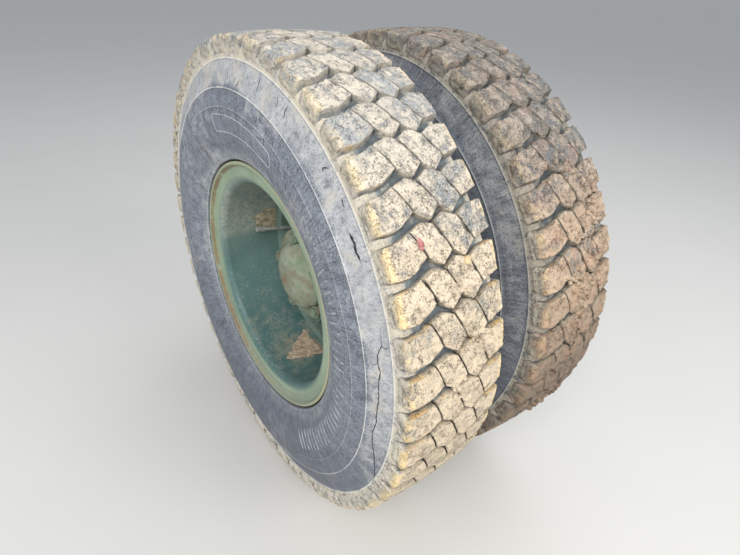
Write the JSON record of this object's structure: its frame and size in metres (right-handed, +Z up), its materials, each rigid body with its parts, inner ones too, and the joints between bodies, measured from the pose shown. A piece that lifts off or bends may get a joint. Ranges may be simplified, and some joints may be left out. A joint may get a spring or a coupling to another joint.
{
  "type": "twin rear truck wheel end",
  "caption": "Dual disc wheels and tyres on a hub with brake drum, drive flange, spindle and axle casing end; the rear corner of a heavy off-road truck.",
  "frame": {"origin": "centre of the axle casing end's inboard flange face, on the wheel axis", "axes": "+Y along the wheel axis, inboard; +Z up; +X to the vehicle's rear"},
  "size_m": [1.092, 0.7496, 1.092],
  "materials": {
    "tyre": "aged rubber, dusty and muddy",
    "paint": "worn satin sage green",
    "hub_paint": "worn olive green over rust",
    "cast": "rusty",
    "steel": "dull machined",
    "fastener": "painted over, chipped",
    "pipe": "dull"
  },
  "bodies": {
    "root": {"spindle": "steel", "backing_plate": "paint", "wheel_cylinder": "cast", "anchor_pins": "fastener", "cam_adjusters": "fastener", "axle_casing_end": "hub_paint", "casing_bolts": "fastener", "brake_pipe": "pipe"},
    "wheels": {"outer_tyre": "tyre", "inner_tyre": "tyre", "outer_rim": "paint", "inner_rim": "paint", "outer_lock_ring": "paint", "inner_lock_ring": "paint", "outer_disc": "paint", "inner_disc": "paint", "hub": "hub_paint", "brake_drum": "cast", "wheel_studs": "steel", "wheel_nuts": "fastener", "cap_nuts": "fastener", "axle_shaft": "hub_paint", "drive_flange_nuts": "fastener", "wheel_bearings": "steel", "outer_valve_stem": "steel", "inner_valve_stem": "steel"}
  },
  "joints": [
    {"name": "wheel_spin", "type": "hinge", "parent": "root", "child": "wheels", "pos_m": [0, 0, 0], "axis": [0, 1, 0], "continuous": true}
  ]
}
